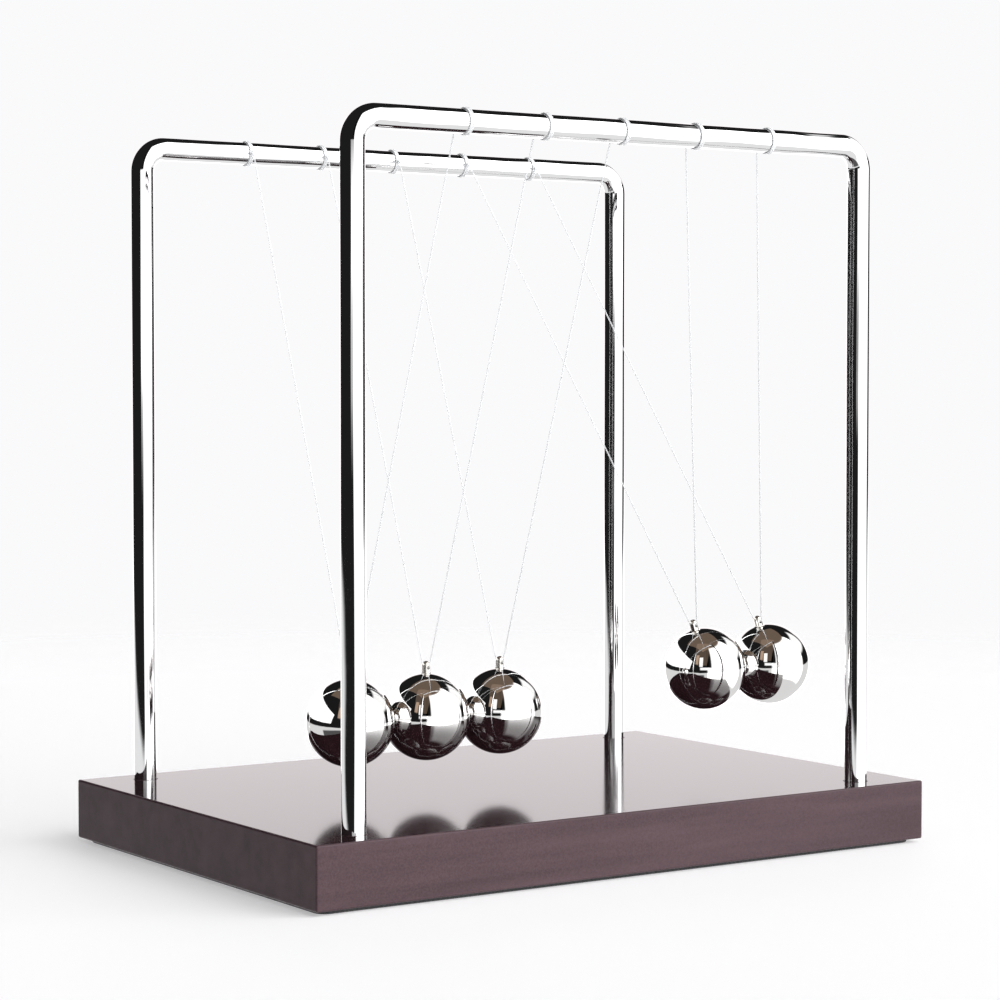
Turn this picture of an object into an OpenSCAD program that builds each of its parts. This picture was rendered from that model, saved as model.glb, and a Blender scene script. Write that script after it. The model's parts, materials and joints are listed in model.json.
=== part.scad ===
// Newton's cradle: a dark board, two bent chrome rods and five steel balls on V strings.
// Origin: centre of the resting face. +X runs along the row of balls, +Z is up.
// Balls hang in the planes between the two rods; those counted in raised_balls are held out to +X.

/* [Base board] */
// Length of the board along the row of balls
base_l = 180; // [170:1:260]
// Width of the board
base_w = 123; // [120:1:200]
// Thickness of the board
base_t = 15; // [14:0.5:30]
// Chamfer on every edge of the board
base_chamfer = 0.4; // [0.2:0.1:1.5]
// Thickness of the rubber sheet glued under the board
pad_t = 1; // [0.5:0.1:3]
// Gap from the board's edge to the rubber sheet's edge
pad_inset = 2; // [1:0.5:4]
// Corner radius of the rubber sheet
pad_corner_r = 3; // [1:0.5:8]

/* [Frames] */
// Diameter of the bent rod
rod_d = 5.8; // [5:0.1:8]
// Height of the rail's centreline above the table
rail_z = 178.4; // [150:0.1:230]
// Distance between a frame's two legs
leg_span = 150; // [146:1:158]
// Distance between the front frame and the rear frame
frame_gap = 105; // [90:1:108]
// Centreline radius of the rod's two bends
bend_r = 6; // [5:0.5:12]
// Depth of the blind hole that each leg stands in
socket_depth = 10; // [6:0.5:10]

/* [Balls] */
// Diameter of a ball
ball_d = 22.2; // [16:0.1:22.3]
// Distance between neighbouring balls
ball_pitch = 22.4; // [22.4:0.1:24]
// Height of a hanging ball's centre above the table
ball_z = 34; // [30:0.5:60]
// How far the raised balls are swung out, in degrees
raise_angle = 18; // [0:1:40]
// Number of balls held out at the +X end
raised_balls = 2; // [0:1:4]

/* [Suspension] */
// Diameter of the eye pin in the top of a ball
pin_d = 2.2; // [2:0.1:3]
// Height of the eye pin above the ball
pin_h = 3; // [2.6:0.1:4]
// Depth of the eye pin in the ball
pin_depth = 4; // [2:0.5:6]
// Diameter of the pin's eye
eye_d = 0.8; // [0.6:0.05:0.9]
// Diameter of the nylon line
line_d = 0.4; // [0.3:0.05:0.5]
// Turns of line round the rail at each tie
loop_turns = 3; // [1:1:4]
// Diameter of the knot that the line swings from
knot_d = 1.1; // [0.9:0.1:1.4]

/* [Leg screws] */
// Thread diameter of a leg screw
screw_d = 3; // [2.5:0.1:3.5]
// Length of a leg screw below its head
screw_l = 11; // [9:0.5:12]
// Diameter of the screw's pan head
head_d = 5.6; // [5:0.1:6]
// Height of the screw's pan head
head_h = 2; // [1.6:0.1:2]
// Diameter of the washer
washer_d = 7; // [6.5:0.1:8]
// Thickness of the washer
washer_t = 0.5; // [0.4:0.1:0.6]

/* [Hidden] */
$fn = 96;

ball_count = 5;
fit_gap = 0.02;      // clearance of a pressed or seated piece
cut = 0.1;           // how far a cutter runs past a face

rod_r = rod_d / 2;
ball_r = ball_d / 2;
line_r = line_d / 2;
pin_r = pin_d / 2;

base_top = pad_t + base_t;
socket_z = base_top - socket_depth;
leg_x = leg_span / 2;
frame_y = frame_gap / 2;

counterbore_d = washer_d + 1;
counterbore_h = 3;
seat_z = pad_t + counterbore_h;
screw_gap = 0.4;     // a clearance hole is this much wider than the screw
thread_gap = 0.1;    // a tapped hole is this much wider than the screw's solid
tap_depth = screw_l;
recess_w = 0.9;
recess_l = 3;
recess_depth = 1.2;

// The eye is drilled across the pin, under its domed end; the line pulls up against the eye's top.
eye_below_dome = 0.25;
eye_z = ball_z + ball_r + pin_h - pin_r - eye_below_dome - eye_d / 2;
apex_z = eye_z + eye_d / 2 - line_r - 2 * fit_gap;
apex_y = pin_r + line_d * 0.7;

// A line swings from a knot beside each rail, just clear of the turns tied round the rail.
knot_l = 1;
tie_r = rod_r + line_d;
knot_gap = 0.15;
knot_y = frame_y - tie_r - knot_gap - knot_l / 2;
turn_pitch = line_d * 0.95;

function ball_x(i) = (i - (ball_count + 1) / 2) * ball_pitch;
function swing(i) = i > ball_count - raised_balls ? raise_angle : 0;

chrome = [0.86, 0.87, 0.88];
steel = [0.62, 0.63, 0.65];
nylon = [0.93, 0.95, 0.96];
board = [0.24, 0.18, 0.18];
rubber = [0.09, 0.09, 0.1];

// A leg's place, by side: -1 or +1 for left or right and for front or rear.
module at_leg(side_x, side_y) {
    translate([side_x * leg_x, side_y * frame_y, 0]) children();
}

module at_every_leg() {
    for (side_x = [-1, 1], side_y = [-1, 1]) at_leg(side_x, side_y) children();
}

// A bar of square section, turned on edge, that cuts one chamfer of the board.
module chamfer_bar(length) {
    bar = base_chamfer * sqrt(2);
    rotate([45, 0, 0]) cube([length, bar, bar], center = true);
}

module board_blank() {
    difference() {
        translate([-base_l / 2, -base_w / 2, pad_t]) cube([base_l, base_w, base_t]);
        for (y = [-base_w / 2, base_w / 2], z = [pad_t, base_top])
            translate([0, y, z]) chamfer_bar(base_l + 2 * cut);
        for (x = [-base_l / 2, base_l / 2], z = [pad_t, base_top])
            translate([x, 0, z]) rotate([0, 0, 90]) chamfer_bar(base_w + 2 * cut);
        for (x = [-base_l / 2, base_l / 2], y = [-base_w / 2, base_w / 2])
            translate([x, y, pad_t + base_t / 2]) rotate([0, 90, 0]) chamfer_bar(base_t + 2 * cut);
    }
}

module base_board() {
    color(board) difference() {
        board_blank();
        at_every_leg() {
            translate([0, 0, socket_z]) cylinder(h = socket_depth + cut, r = rod_r + fit_gap);
            translate([0, 0, pad_t - cut]) cylinder(h = counterbore_h + cut, d = counterbore_d);
            translate([0, 0, pad_t]) cylinder(h = base_t / 2, d = screw_d + screw_gap);
        }
    }
}

// A rubber sheet with round corners, under the whole board: it hides the screws.
module base_pad() {
    l = base_l - 2 * pad_inset;
    w = base_w - 2 * pad_inset;
    round_off = 2 * pad_corner_r;
    color(rubber) union() {
        for (size = [[l, w - round_off], [l - round_off, w]])
            translate([-size.x / 2, -size.y / 2, 0]) cube([size.x, size.y, pad_t]);
        for (x = [-1, 1], y = [-1, 1])
            translate([x * (l - round_off) / 2, y * (w - round_off) / 2, 0])
                cylinder(h = pad_t, r = pad_corner_r);
    }
}

// One rod bent into an upside-down U. Each leg's end is tapped for a screw.
module frame(side_y) {
    color(chrome) translate([0, side_y * frame_y, 0]) difference() {
        union() {
            translate([-leg_x + bend_r, 0, rail_z]) rotate([0, 90, 0])
                cylinder(h = leg_span - 2 * bend_r, r = rod_r);
            for (side_x = [-1, 1]) {
                translate([side_x * leg_x, 0, socket_z])
                    cylinder(h = rail_z - bend_r - socket_z, r = rod_r);
                translate([side_x * (leg_x - bend_r), 0, rail_z - bend_r])
                    rotate([90, 0, side_x < 0 ? 180 : 0])
                    rotate_extrude(angle = 90) translate([bend_r, 0]) circle(r = rod_r);
            }
        }
        for (side_x = [-1, 1])
            translate([side_x * leg_x, 0, socket_z - cut])
                cylinder(h = tap_depth + cut, d = screw_d + thread_gap);
    }
}

// A pan-head screw driven up through the board into the leg, head down.
module leg_screw(side_x, side_y) {
    under_head = seat_z - washer_t;
    color(steel) at_leg(side_x, side_y) difference() {
        union() {
            translate([0, 0, under_head]) cylinder(h = screw_l, d = screw_d);
            translate([0, 0, under_head - head_h / 2]) cylinder(h = head_h / 2, d = head_d);
            translate([0, 0, under_head - head_h])
                cylinder(h = head_h / 2, d1 = head_d - head_h / 2, d2 = head_d);
        }
        for (turn = [0, 90])
            rotate([0, 0, turn]) translate([-recess_l / 2, -recess_w / 2, under_head - head_h - cut])
                cube([recess_l, recess_w, recess_depth + cut]);
    }
}

module leg_washer(side_x, side_y) {
    color(steel) at_leg(side_x, side_y) translate([0, 0, seat_z - washer_t]) difference() {
        cylinder(h = washer_t, d = washer_d);
        translate([0, 0, -cut]) cylinder(h = washer_t + 2 * cut, d = screw_d + screw_gap);
    }
}

// Turns ball i's hanging pieces about the line through its two knots.
module swung(i) {
    translate([ball_x(i), 0, rail_z]) rotate([0, -swing(i), 0]) translate([0, 0, -rail_z]) children();
}

// A polished steel ball with a blind hole for its eye pin.
module ball(i) {
    mouth = 0.35;
    color(chrome) swung(i) translate([0, 0, ball_z]) difference() {
        sphere(r = ball_r);
        translate([0, 0, ball_r - pin_depth]) cylinder(h = pin_depth + cut, r = pin_r + fit_gap);
        translate([0, 0, ball_r - mouth])
            cylinder(h = 2 * mouth, r1 = pin_r + fit_gap, r2 = pin_r + fit_gap + 2 * mouth);
    }
}

// A round-topped pin with a cross-drilled eye.
module eye_pin(i) {
    shank = pin_depth + pin_h - pin_r;
    color(chrome) swung(i) translate([0, 0, ball_z + ball_r - pin_depth]) difference() {
        union() {
            cylinder(h = shank, r = pin_r);
            translate([0, 0, shank]) sphere(r = pin_r);
        }
        translate([0, 0, eye_z - ball_z - ball_r + pin_depth]) rotate([90, 0, 0])
            cylinder(h = pin_d + 2 * cut, d = eye_d, center = true);
    }
}

// A straight stretch of line between two points.
module line_stretch(from, to) {
    run = to - from;
    length = norm(run);
    translate(from) rotate([0, acos(run.z / length), atan2(run.y, run.x)])
        cylinder(h = length, r = line_r);
}

// One V of nylon line: front knot, down through the eye, up to the rear knot.
module line(i) {
    color(nylon) swung(i) {
        line_stretch([0, -apex_y, apex_z], [0, apex_y, apex_z]);
        for (side_y = [-1, 1]) {
            line_stretch([0, side_y * apex_y, apex_z], [0, side_y * knot_y, rail_z]);
            translate([0, side_y * apex_y, apex_z]) sphere(r = line_r + fit_gap / 2);
            translate([0, side_y * knot_y, rail_z]) rotate([90, 0, 0])
                cylinder(h = knot_l, d = knot_d, center = true);
        }
    }
}

// The turns of line tied round a rail.
module rail_tie(i, side_y) {
    band = (loop_turns - 1) * turn_pitch;
    color(nylon) translate([ball_x(i), side_y * frame_y, rail_z]) rotate([0, 90, 0]) union() {
        for (turn = [0 : loop_turns - 1])
            translate([0, 0, turn * turn_pitch - band / 2])
                rotate_extrude() translate([rod_r + line_r, 0]) circle(r = line_r - fit_gap);
        translate([0, 0, -band / 2 - line_r / 2]) difference() {
            cylinder(h = band + line_r, r = rod_r + line_r);
            translate([0, 0, -cut]) cylinder(h = band + line_r + 2 * cut, r = rod_r + fit_gap);
        }
    }
}

base_board();
base_pad();
frame(-1);  // front_frame
frame(1);  // rear_frame
leg_screw(-1, -1);  // leg_screw_front_left
leg_screw(1, -1);  // leg_screw_front_right
leg_screw(-1, 1);  // leg_screw_rear_left
leg_screw(1, 1);  // leg_screw_rear_right
leg_washer(-1, -1);  // leg_washer_front_left
leg_washer(1, -1);  // leg_washer_front_right
leg_washer(-1, 1);  // leg_washer_rear_left
leg_washer(1, 1);  // leg_washer_rear_right
for (i = [1 : ball_count]) {
    ball(i);
    eye_pin(i);
    line(i);
    rail_tie(i, -1);
    rail_tie(i, 1);
}
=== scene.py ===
"""A Newton's cradle: a dark lacquered board, two bent chrome rods and five steel balls on nylon lines."""
import json
import math

import bmesh
import bpy
from mathutils import Matrix, Vector


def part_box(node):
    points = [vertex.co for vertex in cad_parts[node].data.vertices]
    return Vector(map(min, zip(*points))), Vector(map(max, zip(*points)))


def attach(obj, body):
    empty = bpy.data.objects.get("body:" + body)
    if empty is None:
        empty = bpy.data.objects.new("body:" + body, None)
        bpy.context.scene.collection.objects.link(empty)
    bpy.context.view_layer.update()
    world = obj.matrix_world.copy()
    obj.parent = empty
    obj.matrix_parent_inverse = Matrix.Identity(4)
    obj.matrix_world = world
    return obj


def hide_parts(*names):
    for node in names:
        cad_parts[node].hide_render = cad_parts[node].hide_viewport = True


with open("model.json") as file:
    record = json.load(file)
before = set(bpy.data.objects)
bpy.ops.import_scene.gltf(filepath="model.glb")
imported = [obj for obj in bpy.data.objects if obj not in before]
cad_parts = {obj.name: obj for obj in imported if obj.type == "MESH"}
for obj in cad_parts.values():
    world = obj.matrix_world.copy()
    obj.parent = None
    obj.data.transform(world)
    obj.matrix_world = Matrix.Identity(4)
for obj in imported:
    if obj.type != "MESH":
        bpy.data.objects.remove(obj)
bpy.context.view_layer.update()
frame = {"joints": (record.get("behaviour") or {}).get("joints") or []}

MM = 0.001

# ---------------------------------------------------------------- dimensions, from the frame

board_low, board_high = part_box("base_board")
pad_low, pad_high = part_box("base_pad")
frame_low, frame_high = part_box("front_frame")
pin_low, pin_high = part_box("eye_pin_1")
line_low, line_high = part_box("line_1")
screw_low, screw_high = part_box("leg_screw_front_left")
washer_low, washer_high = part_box("leg_washer_front_left")

ROD_R = (frame_high.y - frame_low.y) / 2
RAIL_Z = frame_high.z - ROD_R
LEG_X = frame_high.x - ROD_R
FRAME_Y = abs(frame_high.y + frame_low.y) / 2
LEG_END_Z = frame_low.z
BEND_R = 6 * MM
TAP_R = 1.55 * MM
TAP_DEPTH = 11 * MM
HOLE_R = 1.7 * MM

BALL_R = 11.1 * MM
BALL_DROP = RAIL_Z - 34 * MM
PIN_R = (pin_high.x - pin_low.x) / 2
PIN_TOP_DROP = RAIL_Z - pin_high.z
PIN_LENGTH = pin_high.z - pin_low.z
EYE_R = 0.4 * MM
EYE_DROP = PIN_TOP_DROP + PIN_R + 0.25 * MM + EYE_R
FIT_GAP = 0.02 * MM

LINE_R = 0.2 * MM
APEX_DROP = RAIL_Z - line_low.z - LINE_R
APEX_Y = PIN_R + 1.4 * LINE_R
KNOT_R = (line_high.x - line_low.x) / 2
KNOT_L = 1 * MM
KNOT_Y = line_high.y - KNOT_L / 2
TIE_TURNS = 3

BALLS = range(1, 6)
SIDES = {"front": -1, "rear": 1}
SWINGS = {joint["child"]: joint for joint in frame["joints"]}


def pivot(i):
    """The middle of the line that ball i swings about."""
    return Vector(SWINGS[f"pendulum_{i}"]["pos_m"])


def lift(i):
    """How far ball i is held out towards +X at rest: its joint's lower limit is then where it hangs."""
    low, high = SWINGS[f"pendulum_{i}"]["range_deg"]
    return math.radians(-low) if high > 0 else 0.0


def hung(i):
    """Takes a piece drawn under the origin, hanging, to its place in pendulum i."""
    return Matrix.Translation(pivot(i)) @ Matrix.Rotation(-lift(i), 4, "Y")


# ---------------------------------------------------------------- camera, as for the photograph

CAMERA_AT = Vector((-0.3894, -0.5801, 0.1172))
CAMERA_AZIMUTH = math.radians(33.88)
CAMERA_DIP = math.radians(2.37)
CAMERA_LENS = 98.0


def make_camera():
    data = bpy.data.cameras.new("camera")
    data.lens = CAMERA_LENS
    data.clip_start, data.clip_end = 0.01, 50
    camera = bpy.data.objects.new("camera", data)
    bpy.context.scene.collection.objects.link(camera)
    camera.location = CAMERA_AT
    camera.rotation_euler = (math.pi / 2 - CAMERA_DIP, 0, -CAMERA_AZIMUTH)
    bpy.context.scene.camera = camera


# ---------------------------------------------------------------- shader nodes

def node(tree, kind, inputs=None, **settings):
    """A new node. An input is given by its name or number, as a value or as the socket that feeds it."""
    made = tree.nodes.new(kind)
    for name, value in settings.items():
        setattr(made, name, value)
    for key, value in (inputs or {}).items():
        if isinstance(value, bpy.types.NodeSocket):
            tree.links.new(value, made.inputs[key])
        else:
            made.inputs[key].default_value = value
    return made


def maths(tree, operation, a, b=0.0):
    """A sum on one or two values."""
    return node(tree, "ShaderNodeMath", {0: a, 1: b}, operation=operation).outputs[0]


def ramp(tree, value, low, high, to_low=0.0, to_high=1.0, smooth=False):
    """value, remapped from low..high to to_low..to_high and held there beyond."""
    made = node(tree, "ShaderNodeMapRange", {0: value, 1: low, 2: high, 3: to_low, 4: to_high})
    made.interpolation_type = "SMOOTHSTEP" if smooth else "LINEAR"
    return made.outputs[0]


def stretched(tree, scale):
    """Object coordinates, in metres, scaled along each axis."""
    place = node(tree, "ShaderNodeTexCoord").outputs["Object"]
    return node(tree, "ShaderNodeMapping", {"Vector": place, "Scale": scale}).outputs[0]


def noise(tree, scale, detail=3.0, roughness=0.5):
    """Noise in the object's own space, with about scale lumps to a metre along each axis."""
    inputs = {"Vector": stretched(tree, scale), "Scale": 1.0, "Detail": detail, "Roughness": roughness}
    return node(tree, "ShaderNodeTexNoise", inputs).outputs["Fac"]


def blend_colour(tree, factor, a, b):
    """Colour a where the factor is 0, and colour b where it is 1."""
    made = node(tree, "ShaderNodeMix", data_type="RGBA")
    tree.links.new(factor, made.inputs[0])
    made.inputs[6].default_value = (*a, 1)
    made.inputs[7].default_value = (*b, 1)
    return made.outputs[2]


def bump(tree, height, distance):
    """The normal of a surface that stands proud by distance where the height is 1."""
    return node(tree, "ShaderNodeBump", {"Height": height, "Distance": distance}).outputs[0]


def new_material(name):
    """A material with one Principled shader: (material, tree, shader)."""
    material = bpy.data.materials.new(name)
    material.use_nodes = True
    tree = material.node_tree
    return material, tree, tree.nodes["Principled BSDF"]


def feed(tree, shader, **sockets):
    """Sets or links the shader's inputs; an underscore in a name stands for a space."""
    for key, value in sockets.items():
        socket = shader.inputs[key.replace("_", " ")]
        if isinstance(value, bpy.types.NodeSocket):
            tree.links.new(value, socket)
        else:
            socket.default_value = value


# ---------------------------------------------------------------- materials

HATCH = 3500.0     # the rubber's ridges, in radians to a metre


def rod_chrome():
    """Bright smooth plate on a bent rod, which waves very slightly along its length."""
    material, tree, shader = new_material("rod_chrome")
    wave = noise(tree, (34, 34, 9), detail=1.0)
    haze = noise(tree, (400, 400, 400), detail=4.0)
    feed(tree, shader, Metallic=1.0,
         Base_Color=blend_colour(tree, haze, (0.90, 0.90, 0.91), (0.95, 0.95, 0.955)),
         Roughness=ramp(tree, haze, 0.3, 0.75, 0.015, 0.05),
         Normal=bump(tree, wave, 3 * MM))
    return material


def ball_steel():
    """Mirror-polished ball: a few soft smudges, and hairlines too fine to see one by one."""
    material, tree, shader = new_material("ball_steel")
    smudge = noise(tree, (130, 130, 130), detail=5.0, roughness=0.6)
    hairline = noise(tree, (900, 900, 5000), detail=2.0)
    feed(tree, shader, Metallic=1.0,
         Base_Color=blend_colour(tree, smudge, (0.80, 0.79, 0.785), (0.86, 0.855, 0.85)),
         Roughness=ramp(tree, smudge, 0.45, 0.8, 0.018, 0.07),
         Normal=bump(tree, hairline, 0.0015 * MM))
    return material


def pin_nickel():
    """Nickel plate over fine turning marks."""
    material, tree, shader = new_material("pin_nickel")
    marks = noise(tree, (500, 500, 9000))
    feed(tree, shader, Metallic=1.0,
         Base_Color=blend_colour(tree, marks, (0.66, 0.64, 0.60), (0.78, 0.76, 0.73)),
         Roughness=ramp(tree, marks, 0.3, 0.7, 0.12, 0.24),
         Normal=bump(tree, marks, 0.004 * MM))
    return material


def screw_zinc():
    """Dull zinc plate."""
    material, tree, shader = new_material("screw_zinc")
    grain = noise(tree, (1500, 1500, 1500), detail=4.0)
    feed(tree, shader, Metallic=1.0,
         Base_Color=blend_colour(tree, grain, (0.48, 0.50, 0.53), (0.66, 0.67, 0.68)),
         Roughness=ramp(tree, grain, 0.3, 0.7, 0.25, 0.42),
         Normal=bump(tree, grain, 0.01 * MM))
    return material


def board_tone(tree):
    """The board's tone from 0 to 1, which is long grain under a fine speckle, and the speckle by itself."""
    grain = noise(tree, (14, 190, 190), detail=6.0, roughness=0.62)
    speckle = noise(tree, (2400, 2400, 2400), detail=2.0)
    tone = maths(tree, "ADD", maths(tree, "MULTIPLY", grain, 0.6), maths(tree, "MULTIPLY", speckle, 0.4))
    return ramp(tree, tone, 0.36, 0.66), speckle


def board_gloss_shaded_copy():
    """The board's top: the board's one brown, painted darker here than on the sides as painted shade, under
    a thick clear lacquer.
    """
    material, tree, shader = new_material("board_gloss_shaded_copy")
    tone, speckle = board_tone(tree)
    feed(tree, shader, Specular_IOR_Level=0.0, Coat_Weight=1.0, Coat_Roughness=0.10, Coat_IOR=1.6,
         Base_Color=blend_colour(tree, tone, (0.018, 0.007, 0.009), (0.034, 0.015, 0.019)),
         Roughness=ramp(tree, speckle, 0.3, 0.7, 0.3, 0.45),
         Normal=bump(tree, speckle, 0.005 * MM))
    return material


def board_satin_lit_copy():
    """The board's sides, bevels and underside: the board's one brown, painted lighter here than on the top
    as painted light, with a thin satin coat.
    """
    material, tree, shader = new_material("board_satin_lit_copy")
    tone, speckle = board_tone(tree)
    feed(tree, shader, Specular_IOR_Level=0.25,
         Base_Color=blend_colour(tree, tone, (0.044, 0.022, 0.027), (0.080, 0.046, 0.055)),
         Roughness=ramp(tree, speckle, 0.3, 0.7, 0.36, 0.5),
         Normal=bump(tree, speckle, 0.012 * MM))
    return material


def pad_rubber():
    """Matt black rubber with a fine cross-hatched skin."""
    material, tree, shader = new_material("pad_rubber")
    place = stretched(tree, (HATCH, HATCH, HATCH))
    slanted = node(tree, "ShaderNodeVectorRotate", {"Vector": place, "Angle": math.radians(45)},
                   rotation_type="Z_AXIS")
    split = node(tree, "ShaderNodeSeparateXYZ", {0: slanted.outputs[0]})
    ridges = [maths(tree, "SINE", split.outputs[axis]) for axis in "XY"]
    hatch = maths(tree, "MULTIPLY", *ridges)
    dust = noise(tree, (90, 90, 90), detail=6.0)
    feed(tree, shader,
         Base_Color=blend_colour(tree, dust, (0.018, 0.018, 0.02), (0.05, 0.05, 0.052)),
         Roughness=ramp(tree, dust, 0.3, 0.7, 0.7, 0.88),
         Normal=bump(tree, hatch, 0.08 * MM))
    return material


def nylon(name, alpha):
    """Clear monofilament: milky where it curves away, with a faint drawn streak."""
    material, tree, shader = new_material(name)
    streak = noise(tree, (2500, 2500, 160))
    feed(tree, shader, IOR=1.53, Alpha=alpha, Specular_IOR_Level=0.6,
         Base_Color=blend_colour(tree, streak, (0.86, 0.88, 0.90), (0.97, 0.98, 0.99)),
         Roughness=ramp(tree, streak, 0.3, 0.7, 0.12, 0.3))
    return material


# ---------------------------------------------------------------- mesh tools

SMOOTH_BELOW = math.radians(38)
WELD = 0.002 * MM


def finish_mesh(name, mesh, body, materials, stands_for, flat=False):
    """Turns a mesh, drawn in place, into a piece that replaces its CAD node and rides on its body."""
    mesh.validate()
    mesh.update()
    for face in mesh.polygons:
        face.use_smooth = True
    mesh.set_sharp_from_angle(angle=SMOOTH_BELOW)
    for material in materials:
        mesh.materials.append(material)
    piece = bpy.data.objects.new(name, mesh)
    bpy.context.scene.collection.objects.link(piece)
    if flat:
        piece.modifiers.new("flat_faces_lead", "WEIGHTED_NORMAL").keep_sharp = True
    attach(piece, body)
    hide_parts(stands_for)


def joined(parts):
    """One mesh from several."""
    result = bmesh.new()
    for part in parts:
        result.from_mesh(part)
        bpy.data.meshes.remove(part)
    mesh = bpy.data.meshes.new("joined")
    result.to_mesh(mesh)
    result.free()
    return mesh


def mesh_of_rings(rings, looped=False):
    """A skin over rings of equal length. A ring of one point is a tip; other ends are capped or joined."""
    made = bmesh.new()
    rows = [[made.verts.new(point) for point in ring] for ring in rings]
    following = rows[1:] + rows[:1] if looped else rows[1:]
    for a, b in zip(rows, following):
        count = max(len(a), len(b))
        for k in range(count):
            n = (k + 1) % count
            if len(a) == 1:
                made.faces.new((a[0], b[n], b[k]))
            elif len(b) == 1:
                made.faces.new((a[k], a[n], b[0]))
            else:
                made.faces.new((a[k], a[n], b[n], b[k]))
    if not looped and len(rows[0]) > 1:
        made.faces.new(rows[0][::-1])
    if not looped and len(rows[-1]) > 1:
        made.faces.new(rows[-1])
    bmesh.ops.recalc_face_normals(made, faces=made.faces)
    mesh = bpy.data.meshes.new("rings")
    made.to_mesh(mesh)
    made.free()
    return mesh


def turned(profile, sides=96):
    """Rings about Z from (radius, height) points. A point on the axis becomes a tip."""
    rings = []
    for radius, height in profile:
        count = sides if radius > 0 else 1
        turns = [2 * math.pi * k / count for k in range(count)]
        rings.append([Vector((radius * math.cos(t), radius * math.sin(t), height)) for t in turns])
    return rings


def lathe(profile, sides=96):
    """A solid of revolution about Z."""
    return mesh_of_rings(turned(profile, sides))


def arc(centre, radius, start, end, steps):
    """Points (u, v) on an arc, both ends included; angles in degrees."""
    angles = [math.radians(start + (end - start) * k / steps) for k in range(steps + 1)]
    return [(centre[0] + radius * math.cos(t), centre[1] + radius * math.sin(t)) for t in angles]


def path_frames(path):
    """A tangent, side and up vector at each point of a path, turned no more than the path turns."""
    tangents = []
    for k in range(len(path)):
        before, after = path[max(k - 1, 0)], path[min(k + 1, len(path) - 1)]
        tangents.append((after - before).normalized())
    side = tangents[0].orthogonal().normalized()
    frames = []
    for k, tangent in enumerate(tangents):
        if k:
            side = tangents[k - 1].rotation_difference(tangent) @ side
        side = (side - tangent * side.dot(tangent)).normalized()
        frames.append((tangent, side, tangent.cross(side)))
    return frames


def tube_rings(path, radii, sides):
    """A ring square to the path at each of its points, with a radius for each."""
    turns = [2 * math.pi * k / sides for k in range(sides)]
    rings = []
    for point, (_, side, up), radius in zip(path, path_frames(path), radii):
        rings.append([point + (side * math.cos(t) + up * math.sin(t)) * radius for t in turns])
    return rings


def tube(path, radius, sides=16):
    """A round cord along a path, with domed ends."""
    frames = path_frames(path)
    domes = [math.radians(angle) for angle in (20, 45, 70)]
    start, end = frames[0][0], frames[-1][0]
    rings = tube_rings(path, [radius] * len(path), sides)

    def dome_ring(ring, centre, outward, angle):
        rise = outward * radius * math.cos(angle)
        return [centre + (p - centre) * math.sin(angle) + rise for p in ring]

    first_dome = [dome_ring(rings[0], path[0], -start, angle) for angle in domes]
    last_dome = [dome_ring(rings[-1], path[-1], end, angle) for angle in reversed(domes)]
    tips = [path[0] - start * radius], [path[-1] + end * radius]
    return mesh_of_rings([tips[0], *first_dome, *rings, *last_dome, tips[1]])


def carve(mesh, cutters):
    """Subtracts each cutter from a mesh, and removes the cutters."""
    body = bpy.data.objects.new("carved", mesh)
    bpy.context.scene.collection.objects.link(body)
    tools = []
    for cutter in cutters:
        tool = bpy.data.objects.new("cutter", cutter)
        bpy.context.scene.collection.objects.link(tool)
        tools.append(tool)
        modifier = body.modifiers.new("cut", "BOOLEAN")
        modifier.operation, modifier.solver, modifier.object = "DIFFERENCE", "EXACT", tool
    view = bpy.context.evaluated_depsgraph_get()
    result = bpy.data.meshes.new_from_object(body.evaluated_get(view))
    tidied = bmesh.new()
    tidied.from_mesh(result)
    bmesh.ops.remove_doubles(tidied, verts=tidied.verts, dist=WELD)
    bmesh.ops.dissolve_degenerate(tidied, edges=tidied.edges, dist=WELD)
    tidied.to_mesh(result)
    tidied.free()
    for made in [body, *tools]:
        bpy.data.objects.remove(made)
    for used in [mesh, *cutters]:
        bpy.data.meshes.remove(used)
    return result


# ---------------------------------------------------------------- pieces

def leg_places():
    """Where each leg stands: name, x and y."""
    for depth, y in SIDES.items():
        for width, x in (("left", -1), ("right", 1)):
            yield f"{depth}_{width}", x * LEG_X, y * FRAME_Y


def board_mesh():
    """A bevelled board with four leg sockets, screw holes and counterbores."""
    made = bmesh.new()
    bmesh.ops.create_cube(made, size=1)
    size = board_high - board_low
    bmesh.ops.scale(made, vec=size, verts=made.verts)
    bmesh.ops.translate(made, vec=(board_high + board_low) / 2, verts=made.verts)
    bmesh.ops.bevel(made, geom=made.edges, offset=0.5 * MM, segments=4, profile=0.5, affect="EDGES")
    mesh = bpy.data.meshes.new("board")
    made.to_mesh(mesh)
    made.free()
    top, bottom, mouth = board_high.z, board_low.z, 0.25 * MM
    socket_r, counterbore_r = ROD_R + FIT_GAP, 4 * MM
    past = 1 * MM
    profile = [(0, bottom - past), (counterbore_r, bottom - past), (counterbore_r, washer_high.z),
               (HOLE_R, washer_high.z), (HOLE_R, LEG_END_Z), (socket_r, LEG_END_Z),
               (socket_r, top - mouth), (socket_r + mouth + past, top + past), (0, top + past)]
    cutters = []
    for _, x, y in leg_places():
        cutter = lathe(profile)
        cutter.transform(Matrix.Translation((x, y, 0)))
        cutters.append(cutter)
    board = carve(mesh, cutters)
    # The top gets the darker copy of the board's brown and the rest gets the lighter copy: painted shade on
    # the top, painted light on the sides.
    for face in board.polygons:
        on_top = face.normal.z > 0.99 and face.center.z > top - mouth / 2
        face.material_index = 0 if on_top else 1
    return board


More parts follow.
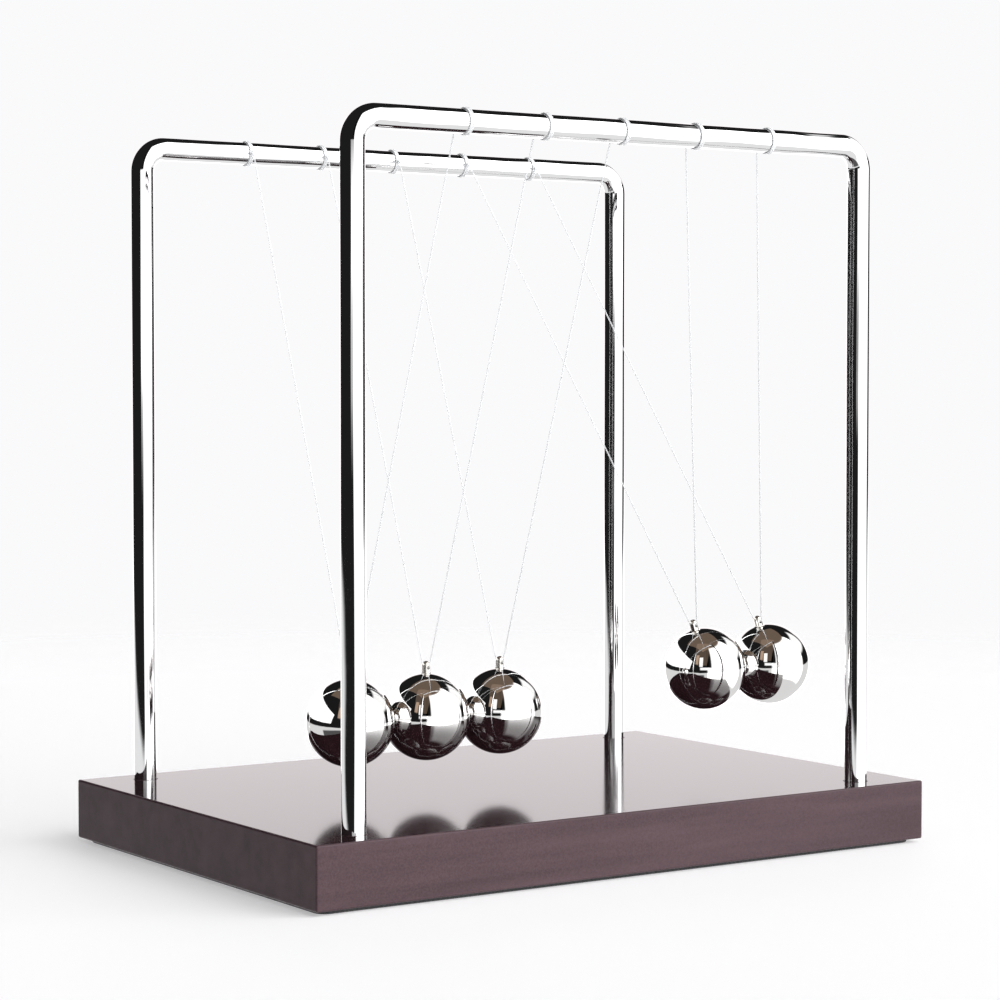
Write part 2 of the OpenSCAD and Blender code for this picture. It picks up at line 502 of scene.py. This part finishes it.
def frame_mesh(y):
    """One rod: up, over and down, with a rounded bend at each corner and a tapped hole in each foot."""
    corner_x, corner_z = LEG_X - BEND_R, RAIL_Z - BEND_R
    chamfer = 0.3 * MM
    ends = [LEG_END_Z, LEG_END_Z + chamfer]
    rising = [(-LEG_X, z) for z in ends]
    left = arc((-corner_x, corner_z), BEND_R, 180, 90, 32)
    right = arc((corner_x, corner_z), BEND_R, 90, 0, 32)
    falling = [(LEG_X, z) for z in reversed(ends)]
    path = [Vector((x, y, z)) for x, z in rising + left + right + falling]
    radii = [ROD_R - chamfer] + [ROD_R] * (len(path) - 2) + [ROD_R - chamfer]
    rings = tube_rings(path, radii, 96)

    def hole(ring, centre):
        """The tapped hole's rings, from its tip to its mouth, in line with a rod end's ring."""
        rim = [centre + (p - centre).normalized() * TAP_R for p in ring]
        deep = Vector((0, 0, TAP_DEPTH))
        tip = centre + deep + Vector((0, 0, TAP_R * 0.6))
        return [[tip], [p + deep for p in rim], rim]

    start, end = hole(rings[0], path[0]), hole(rings[-1], path[-1])
    return mesh_of_rings(start + rings + end[::-1])


def ball_mesh():
    """A ball with a blind hole for its pin, and a small countersink round the hole."""
    depth, mouth = 4 * MM, 0.35 * MM
    hole_r = PIN_R + FIT_GAP
    rim_r = hole_r + mouth
    rim_angle = math.degrees(math.acos(rim_r / BALL_R))
    profile = [(0, BALL_R - depth), (hole_r, BALL_R - depth), (hole_r, BALL_R - mouth)]
    profile += arc((0, 0), BALL_R, rim_angle, -90, 120)[:-1]
    profile.append((0, -BALL_R))
    return lathe(profile, 192)


def pin_mesh():
    """A round-topped pin with a cross-drilled eye; the origin is the rail's height."""
    top = -PIN_TOP_DROP
    base = top - PIN_LENGTH
    chamfer = 0.25 * MM
    profile = [(0, base), (PIN_R - chamfer, base), (PIN_R, base + chamfer)]
    profile += arc((0, top - PIN_R), PIN_R, 0, 90, 24)[:-1]
    profile.append((0, top))
    drill = lathe([(0, -2 * PIN_R), (EYE_R, -2 * PIN_R), (EYE_R, 2 * PIN_R), (0, 2 * PIN_R)], 48)
    off_seam = Matrix.Rotation(math.radians(1), 4, "Z")
    drill.transform(Matrix.Translation((0, 0, -EYE_DROP)) @ Matrix.Rotation(math.pi / 2, 4, "X") @ off_seam)
    pin = lathe(profile, 64)
    pin.transform(off_seam)
    return carve(pin, [drill])


def coil(radius, pitch, turns, wire, start=0.0, steps=28):
    """A wound cord: a helix about Z, centred on the origin."""
    count = max(2, int(turns * steps))
    points = []
    for k in range(count + 1):
        t = start + 2 * math.pi * turns * k / count
        climb = pitch * turns * (k / count - 0.5)
        points.append(Vector((radius * math.cos(t), radius * math.sin(t), climb)))
    return tube(points, wire, 12)


def line_mesh():
    """One V of line through the eye, with a barrel knot at each end; the origin is the rail's height."""
    low = Vector((0, APEX_Y, -APEX_DROP))
    knot = Vector((0, KNOT_Y, 0))
    rise = (knot - low).normalized()
    turn = 3 * LINE_R
    bend = [Vector((0, 0, -APEX_DROP)), low - Vector((0, turn, 0)) * 0.5,
            low + Vector((0, 0.08, 0.2)) * turn, low + rise * turn]
    half = bend + [knot]
    path = [Vector((p.x, -p.y, p.z)) for p in reversed(half[1:])] + half
    parts = [tube(path, LINE_R, 16)]
    wire = 0.17 * MM
    for side in SIDES.values():
        turns = (KNOT_L - 2 * wire) / (2 * wire)
        wrap = coil(KNOT_R - wire, 2 * wire, turns, wire)
        wrap.transform(Matrix.Translation((0, side * KNOT_Y, 0)) @ Matrix.Rotation(math.pi / 2, 4, "X"))
        parts.append(wrap)
    return joined(parts)


def tie_mesh(side):
    """The turns of line round a rail and the tail towards the knot; the origin is the rail's centre."""
    radius = ROD_R + LINE_R
    wrap = coil(radius, 1.9 * LINE_R, TIE_TURNS, LINE_R, start=math.pi / 2, steps=64)
    wrap.transform(Matrix.Rotation(math.pi / 2, 4, "Y"))
    gap = FRAME_Y - KNOT_Y - KNOT_L / 2
    inward = -side
    tail_path = [Vector((0, inward * radius, LINE_R)), Vector((0, inward * (gap - LINE_R), 0))]
    return joined([wrap, tube(tail_path, LINE_R * 0.9, 12)])


def pad_mesh():
    """A thin sheet with round corners and softened edges."""
    corner, soften, steps = 3 * MM, 0.25 * MM, 8
    x, y = pad_high.x - corner, pad_high.y - corner

    def outline(inset, z):
        points = []
        for cx, cy, start in ((x, y, 0), (-x, y, 90), (-x, -y, 180), (x, -y, 270)):
            points += arc((cx, cy), corner - inset, start, start + 90, steps)
        return [Vector((u, v, z)) for u, v in points]

    low, high = pad_low.z, pad_high.z
    return mesh_of_rings([outline(soften, low), outline(0, low + soften), outline(0, high - soften),
                          outline(soften, high)])


def cross_recess(z):
    """A cutter for a cross slot in a screw head's face at height z, narrower as it goes in."""
    mouth, floor = (1.5 * MM, 0.45 * MM), (0.75 * MM, 0.3 * MM)

    def plus(reach, half, height):
        corner = [(reach, -half), (reach, half), (half, half)]
        points = []
        for _ in range(4):
            points += corner
            corner = [(-v, u) for u, v in corner]
        return [Vector((u, v, height)) for u, v in points]

    deep = 1.3 * MM
    return mesh_of_rings([plus(*mouth, z - deep), plus(*mouth, z), plus(*floor, z + deep)])


def screw_mesh():
    """A pan-head screw, head down, with a cross recess and a thread that climbs one pitch a turn."""
    head_r, thread_r, core_r = (screw_high.x - screw_low.x) / 2, 1.5 * MM, 1.2 * MM
    head_top, pitch, soft = washer_low.z, 0.5 * MM, 0.9 * MM
    sides, steps = 48, 10

    def thread_ring(z):
        room = min(z - head_top, screw_high.z - z) / pitch
        ridge = (thread_r - core_r) * min(1, room)
        ring = []
        for k in range(sides):
            climbed = (z / pitch - k / sides) % 1
            radius = core_r + ridge * (1 - abs(2 * climbed - 1))
            ring.append(Vector((radius * math.cos(2 * math.pi * k / sides),
                                radius * math.sin(2 * math.pi * k / sides), z)))
        return ring

    rim = arc((head_r - soft, screw_low.z + soft), soft, -90, 0, 10)
    head = [(0, screw_low.z), *rim, (head_r, head_top)]
    shank = screw_high.z - head_top
    count = round(shank / pitch * steps)
    rings = turned(head, sides) + [thread_ring(head_top + shank * k / count) for k in range(count + 1)]
    rings.append([Vector((0, 0, screw_high.z))])
    return carve(mesh_of_rings(rings), [cross_recess(screw_low.z)])


def washer_mesh():
    """A flat washer with softened outer edges."""
    outer, soft = (washer_high.x - washer_low.x) / 2, 0.08 * MM
    low, high = washer_low.z, washer_high.z
    section = [(HOLE_R, low), (outer - soft, low), (outer, low + soft),
               (outer, high - soft), (outer - soft, high), (HOLE_R, high)]
    return mesh_of_rings(turned(section, 64), looped=True)


def make_stand():
    # One brown board in two copies: painted darker on the top and lighter on the sides, for how light falls
    # on each.
    board_shaded_and_lit_copies = [board_gloss_shaded_copy(), board_satin_lit_copy()]
    rubber, chrome, zinc = pad_rubber(), rod_chrome(), screw_zinc()
    finish_mesh("board", board_mesh(), "stand", board_shaded_and_lit_copies, "base_board", flat=True)
    finish_mesh("pad", pad_mesh(), "stand", [rubber], "base_pad", flat=True)
    for name, side in SIDES.items():
        rod = frame_mesh(side * FRAME_Y)
        finish_mesh(f"{name}_rod", rod, "stand", [chrome], f"{name}_frame")
    for name, x, y in leg_places():
        screw, washer = screw_mesh(), washer_mesh()
        home = Matrix.Translation((x, y, 0))
        screw.transform(home)
        washer.transform(home)
        for kind, mesh in (("screw", screw), ("washer", washer)):
            node_name = f"leg_{kind}_{name}"
            finish_mesh(f"{kind}_{name}", mesh, "stand", [zinc], node_name, flat=True)


def make_pendulums():
    steel, nickel = ball_steel(), pin_nickel()
    clear, milky = nylon("nylon_clear", 0.5), nylon("nylon_wound", 0.9)
    for i in BALLS:
        body = f"pendulum_{i}"
        ball = ball_mesh()
        ball.transform(hung(i) @ Matrix.Translation((0, 0, -BALL_DROP)))
        finish_mesh(f"steel_ball_{i}", ball, body, [steel], f"ball_{i}")
        pin, line = pin_mesh(), line_mesh()
        pin.transform(hung(i))
        line.transform(hung(i))
        finish_mesh(f"pin_{i}", pin, body, [nickel], f"eye_pin_{i}")
        finish_mesh(f"nylon_{i}", line, body, [clear], f"line_{i}")
        for name, side in SIDES.items():
            tie = tie_mesh(side)
            tie.transform(Matrix.Translation((pivot(i).x, side * FRAME_Y, RAIL_Z)))
            finish_mesh(f"tie_{name}_{i}", tie, "stand", [milky], f"rail_tie_{name}_{i}")


# ---------------------------------------------------------------- studio

PALE = (0.955, 0.955, 0.965)
ROSY = (1.46, 1.37, 1.39)
WARM = (1.0, 0.70, 0.50)
DARK_ROOM = 0.012
CARD_DISTANCE = 2.0
FLOOR_R = 1.2
WATTS_PER_GLOW = 4.0


def make_floor():
    """A pale round floor that fades out into the pale surround."""
    made = bmesh.new()
    bmesh.ops.create_circle(made, cap_ends=True, segments=128, radius=FLOOR_R)
    mesh = bpy.data.meshes.new("floor")
    made.to_mesh(mesh)
    made.free()
    floor = bpy.data.objects.new("floor", mesh)
    bpy.context.scene.collection.objects.link(floor)
    material, tree, shader = new_material("floor_pale")
    feed(tree, shader, Roughness=0.65, Specular_IOR_Level=0.2, Base_Color=(0.62, 0.62, 0.625, 1),
         Emission_Color=(1.0, 1.0, 1.01, 1), Emission_Strength=0.395)
    place = node(tree, "ShaderNodeTexCoord").outputs["Object"]
    far = node(tree, "ShaderNodeVectorMath", {0: place}, operation="LENGTH").outputs["Value"]
    feed(tree, shader, Alpha=ramp(tree, far, 0.38, 0.75, 1.0, 0.0, smooth=True))
    mesh.materials.append(material)
    floor.visible_glossy = False


def softbox(tree, around, above, spread, rise, glow, soft=3.0):
    """Light from a patch of the surround, by its spread round the horizon and its rise, in degrees.

    A negative glow takes light away instead.
    """
    level = glow
    for angle, (low, high) in ((around, spread), (above, rise)):
        low, high, edge = math.radians(low), math.radians(high), math.radians(soft)
        rising = ramp(tree, angle, low - edge, low + edge, smooth=True)
        falling = ramp(tree, angle, high - edge, high + edge, 1, 0, smooth=True)
        level = maths(tree, "MULTIPLY", falling, maths(tree, "MULTIPLY", rising, level))
    return level


def far_table(tree, around, above):
    """The pale table far off, below the horizon: its edge dips lowest a little to the camera's left."""
    lowest_at, climb, glow = math.radians(-15), 0.035, 0.8
    aside = maths(tree, "ABSOLUTE", maths(tree, "SUBTRACT", around, lowest_at))
    below = maths(tree, "SUBTRACT", above, maths(tree, "MULTIPLY", aside, climb))
    return ramp(tree, below, math.radians(-8.9), math.radians(-7.3), glow, 0.0, smooth=True)


def back_wall(tree, around, above):
    """The pale wall behind the object, which the board's lacquer shows: a little dimmer higher up."""
    right = softbox(tree, around, above, (150, 400), (-30, 24), 1.0)
    left = softbox(tree, around, above, (-400, -150), (-30, 24), 1.0)
    fading = ramp(tree, above, math.radians(3), math.radians(11), 1.0, 0.86)
    return maths(tree, "MULTIPLY", maths(tree, "ADD", right, left), fading)


def make_surround():
    """White cards and dark gaps that the chrome reflects; what the camera sees direct is plain and pale."""
    world = bpy.data.worlds.new("surround")
    bpy.context.scene.world = world
    world.use_nodes = True
    tree = world.node_tree
    tree.nodes.clear()
    way = node(tree, "ShaderNodeTexCoord").outputs["Generated"]
    faced = node(tree, "ShaderNodeVectorRotate", {"Vector": way, "Angle": CAMERA_AZIMUTH},
                 rotation_type="Z_AXIS")
    split = node(tree, "ShaderNodeSeparateXYZ", {0: faced.outputs[0]})
    # Round the horizon, 0 is the way back to the camera, and positive angles are to the camera's right.
    back = maths(tree, "MULTIPLY", split.outputs["Y"], -1)
    around = maths(tree, "ARCTAN2", split.outputs["X"], back)
    above = maths(tree, "ARCSINE", split.outputs["Z"])
    window = softbox(tree, around, above, (4, 108), (-35, 62), 1.3)
    window_middle = softbox(tree, around, above, (24, 104), (5, 58), 2.6, soft=5.0)
    right_card = softbox(tree, around, above, (108, 142), (15, 44), 1.2)
    window_ledge = softbox(tree, around, above, (-17, 6), (0.5, 7), 1.3, soft=2.0)
    window_frame = softbox(tree, around, above, (3, 15), (7, 66), -1.3, soft=2.0)
    table = far_table(tree, around, above)
    table_gap = softbox(tree, around, above, (-72, -6), (-120, -13.5), -0.72, soft=2.0)
    total = DARK_ROOM
    for light in (window, window_middle, right_card, window_ledge, window_frame, table, table_gap):
        total = maths(tree, "ADD", light, total)
    total = maths(tree, "MAXIMUM", total, 0.0)
    level = node(tree, "ShaderNodeCombineColor", {0: total, 1: total, 2: total}).outputs[0]
    rosy = blend_colour(tree, back_wall(tree, around, above), (0, 0, 0), ROSY)
    seen = node(tree, "ShaderNodeMix", {0: 1.0, 6: level, 7: rosy}, data_type="RGBA", blend_type="ADD")
    cards = node(tree, "ShaderNodeBackground", {"Color": seen.outputs[2]})
    pale = node(tree, "ShaderNodeBackground", {"Color": (*PALE, 1)})
    direct = node(tree, "ShaderNodeLightPath").outputs["Is Camera Ray"]
    mixed = node(tree, "ShaderNodeMixShader", {0: direct, 1: cards.outputs[0], 2: pale.outputs[0]})
    node(tree, "ShaderNodeOutputWorld", {0: mixed.outputs[0]})


def far_light(name, way, spread, strength):
    """Even soft light from one side, which chrome doesn't show: the surround is what it reflects."""
    data = bpy.data.lights.new(name, "SUN")
    data.angle, data.energy = math.radians(spread), strength
    light = bpy.data.objects.new(name, data)
    bpy.context.scene.collection.objects.link(light)
    light.rotation_euler = Vector(way).to_track_quat("Z", "Y").to_euler()
    light.visible_glossy = False


def ball_card(shiny, name, towards, looks, glow, tint=(1.0, 1.0, 1.0)):
    """A card of light that only the shiny pieces show. Its direction and apparent size are in degrees."""
    around, above = math.radians(towards[0]) - CAMERA_AZIMUTH, math.radians(towards[1])
    level_way = Vector((math.sin(around), -math.cos(around), 0))
    way = level_way * math.cos(above) + Vector((0, 0, math.sin(above)))
    wide, high = [2 * CARD_DISTANCE * math.tan(math.radians(angle) / 2) for angle in looks]
    data = bpy.data.lights.new(name, "AREA")
    data.shape, data.size, data.size_y = "RECTANGLE", wide, high
    data.color, data.energy = tint, WATTS_PER_GLOW * glow * wide * high
    card = bpy.data.objects.new(name, data)
    bpy.context.scene.collection.objects.link(card)
    card.location = pivot(3) - Vector((0, 0, BALL_DROP)) + way * CARD_DISTANCE
    card.rotation_euler = way.to_track_quat("Z", "Y").to_euler()
    card.visible_camera = False
    card.light_linking.receiver_collection = shiny


def make_ball_cards():
    """White and warm cards that the balls and their pins reflect, but the rods don't."""
    shiny = bpy.data.collections.new("shiny")
    for i in BALLS:
        shiny.objects.link(bpy.data.objects[f"steel_ball_{i}"])
        shiny.objects.link(bpy.data.objects[f"pin_{i}"])
    ball_card(shiny, "left_card", (-98, 20.5), (104, 35), 1.15)
    ball_card(shiny, "slit_card", (-13.5, 23), (10, 26), 0.9)
    ball_card(shiny, "ceiling_card", (0, 90), (56, 56), 0.12, WARM)
    ball_card(shiny, "wall_card", (-12, 47), (34, 66), 0.08, WARM)
    ball_card(shiny, "lamp_card", (-26.5, 29), (8, 26), 0.32, WARM)


def make_studio():
    make_floor()
    make_surround()
    make_ball_cards()
    far_light("overhead", (0.1, -0.1, 1), 80, 0.46)
    far_light("front_fill", (0.1, -1, 0.25), 50, 0.04)
    far_light("left_fill", (-1, 0.1, 0.25), 50, 0.40)
    bpy.context.scene.view_settings.view_transform = "Standard"


make_camera()
make_stand()
make_pendulums()
make_studio()
